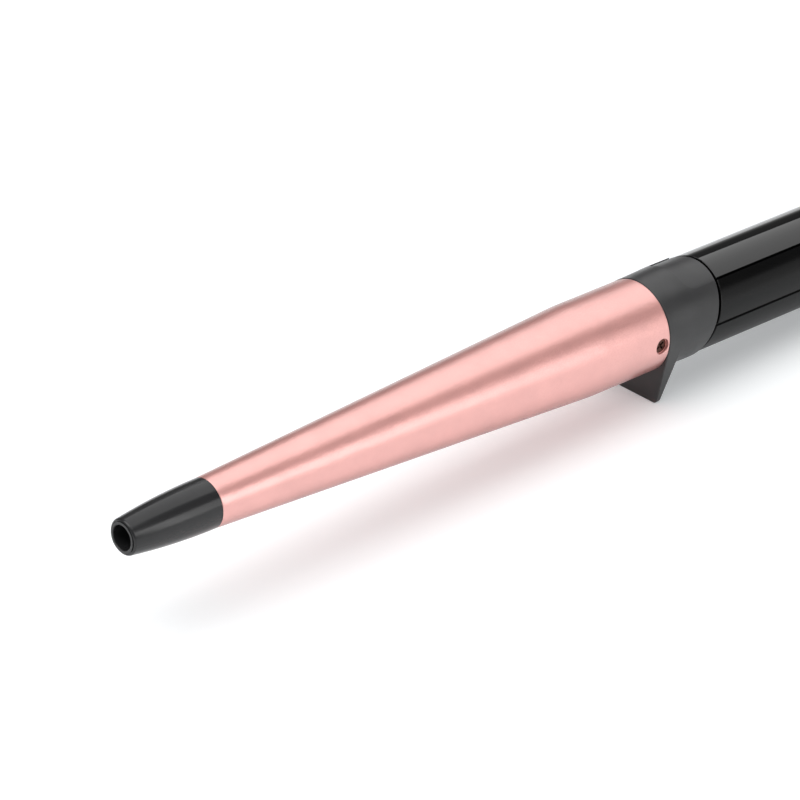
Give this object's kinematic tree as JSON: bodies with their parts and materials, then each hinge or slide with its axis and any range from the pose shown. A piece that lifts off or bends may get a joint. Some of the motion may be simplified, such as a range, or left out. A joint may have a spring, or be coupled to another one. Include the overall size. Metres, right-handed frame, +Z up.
{
  "type": "curling wand",
  "caption": "Clipless hair curling wand: tapered heated barrel, cool tip with a nose bore, collar with a resting foot, round handle with sprung keys and a swivelling cord outlet.",
  "frame": {"origin": "on the table below the middle of the wand's length as it lies on its foot and tail", "axes": "+X from the nose to the tail, level; +Y across; +Z up. The wand's own axis drops by 2.652 degrees towards the tail"},
  "size_m": [0.337, 0.0258, 0.0331],
  "materials": {
    "tip_black": "satin moulded",
    "rose_metal": "satin rose-gold coat with fine sparkle",
    "collar_grey": "satin moulded",
    "handle_black": "high gloss moulded",
    "panel_black": "piano gloss",
    "tail_grey": "satin moulded",
    "key_black": "soft satin",
    "gland_black": "fine matt",
    "light_clear": "clear moulded, frosted below",
    "copper_steel": "browned, copper toned",
    "steel": "zinc plated",
    "plug_metal": "turned",
    "seat_black": "heat-proof moulding",
    "shoe_metal": "extruded, bare",
    "film_amber": "polyimide film",
    "contact_brass": "bright",
    "chip_ceramic": "fired, silvered faces",
    "frame_white": "heat-proof moulding",
    "mica": "pressed mica",
    "sensor_glass": "glass bead and wire",
    "fuse_metal": "plated can",
    "lead_sleeve": "silicone sleeve",
    "board_green": "solder mask",
    "part_black": "moulded package",
    "block_grey": "moulded",
    "capacitor_yellow": "potted box",
    "lamp_red": "tinted dome"
  },
  "bodies": {
    "wand": {"cool_tip": "tip_black", "tip_screw": "steel", "tip_plug": "plug_metal", "barrel": "rose_metal", "barrel_screws": "copper_steel", "barrel_seat": "seat_black", "collar": "collar_grey", "handle_upper": "handle_black", "handle_lower": "handle_black", "handle_screws": "steel", "top_panel": "panel_black", "tail_ring": "tail_grey", "light_pipes": "light_clear", "indicator_leds": "lamp_red", "tact_switches": "part_black", "control_board": "board_green", "terminal_block": "block_grey", "triac": "part_black", "film_capacitor": "capacitor_yellow", "controller_chip": "part_black", "heat_shoe_upper": "shoe_metal", "heat_shoe_lower": "shoe_metal", "film_upper": "film_amber", "film_lower": "film_amber", "electrode_upper": "contact_brass", "electrode_lower": "contact_brass", "ptc_chips": "chip_ceramic", "chip_frame": "frame_white", "mica_disc": "mica", "thermistor": "sensor_glass", "thermal_fuse": "fuse_metal", "heater_leads": "lead_sleeve", "brush_springs": "contact_brass"},
    "power_key": {"power_button": "key_black"},
    "plus_key": {"plus_button": "key_black"},
    "minus_key": {"minus_button": "key_black"},
    "swivel": {"swivel_gland": "gland_black", "slip_rings": "contact_brass"}
  },
  "joints": [
    {"name": "power_press", "type": "slide", "parent": "wand", "child": "power_key", "axis": [-0.0463, 0, -0.9989], "range_m": [0, 0.0006], "stiffness_N_per_m": 800, "springref_m": -0.001},
    {"name": "plus_press", "type": "slide", "parent": "wand", "child": "plus_key", "axis": [-0.0463, 0, -0.9989], "range_m": [0, 0.0006], "stiffness_N_per_m": 800, "springref_m": -0.001},
    {"name": "minus_press", "type": "slide", "parent": "wand", "child": "minus_key", "axis": [-0.0463, 0, -0.9989], "range_m": [0, 0.0006], "stiffness_N_per_m": 800, "springref_m": -0.001},
    {"name": "cord_swivel", "type": "hinge", "parent": "wand", "child": "swivel", "pos_m": [0.15831, 0, 0.01239], "axis": [0.9989, 0, -0.0463], "continuous": true}
  ]
}
